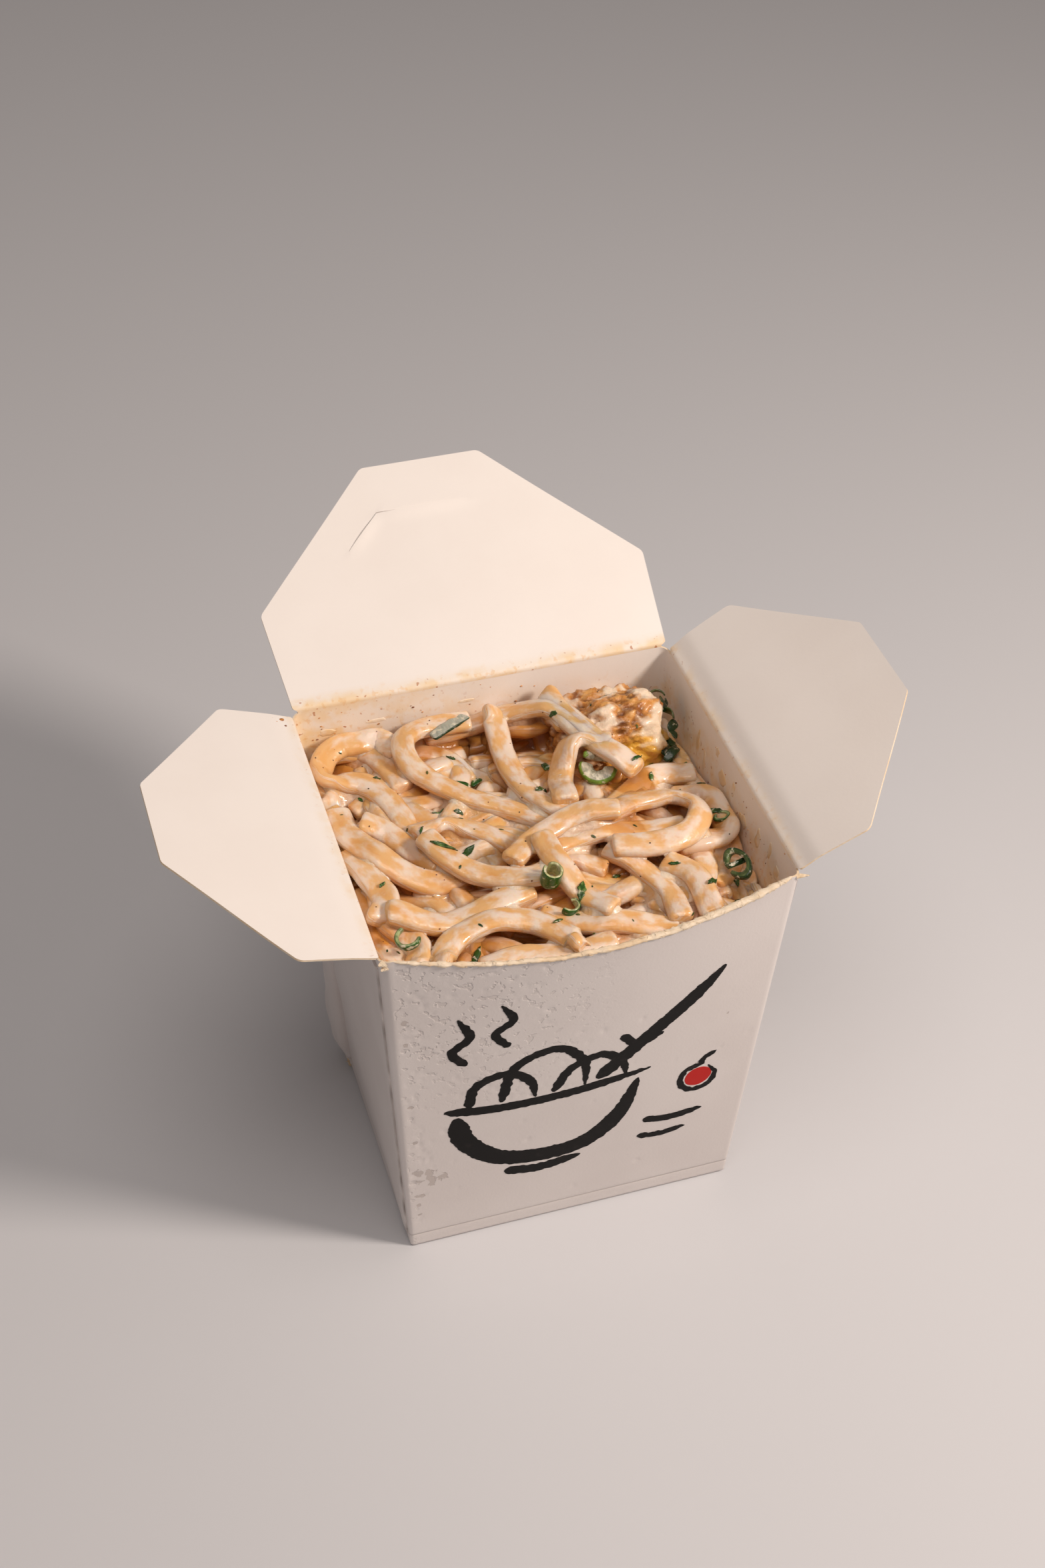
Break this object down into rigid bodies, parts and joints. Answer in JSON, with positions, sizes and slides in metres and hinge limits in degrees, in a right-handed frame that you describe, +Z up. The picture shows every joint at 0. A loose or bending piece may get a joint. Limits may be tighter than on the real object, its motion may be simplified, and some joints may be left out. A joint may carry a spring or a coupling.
{
  "type": "pasta takeaway box",
  "caption": "Open white paperboard food pail filled with creamy ribbon pasta, browned chicken and greens, with hinged flaps round its mouth.",
  "frame": {"origin": "middle of the carton's underside, on the surface that it stands on", "axes": "+Z up out of the carton's mouth, +Y towards the back flap, +X to the right seen from the printed front"},
  "size_m": [0.1787, 0.155, 0.1421],
  "materials": {
    "board": "clay-coated white paperboard, satin",
    "pasta": "cooked pasta under a glossy cream sauce",
    "crust": "browned fried crust with cream on it",
    "greens": "wet cut green vegetable"
  },
  "bodies": {
    "box": {"carton": "board", "pasta": "pasta", "chicken": "crust", "green_stalk": "greens", "green_ring": "greens", "green_piece": "greens", "green_curl": "greens", "green_slice": "greens"},
    "left_lid": {"flap_left": "board"},
    "right_lid": {"flap_right": "board"},
    "back_lid": {"flap_back": "board"}
  },
  "joints": [
    {"name": "left_crease", "type": "hinge", "parent": "box", "child": "left_lid", "pos_m": [-0.04975, 0, 0.1141], "axis": [0, 1, 0], "range_deg": [-65, 162]},
    {"name": "right_crease", "type": "hinge", "parent": "box", "child": "right_lid", "pos_m": [0.04975, 0, 0.1141], "axis": [0, -1, 0], "range_deg": [-75, 150]},
    {"name": "back_crease", "type": "hinge", "parent": "box", "child": "back_lid", "pos_m": [0, 0.04475, 0.115], "axis": [1, 0, 0], "range_deg": [-70, 152]}
  ]
}
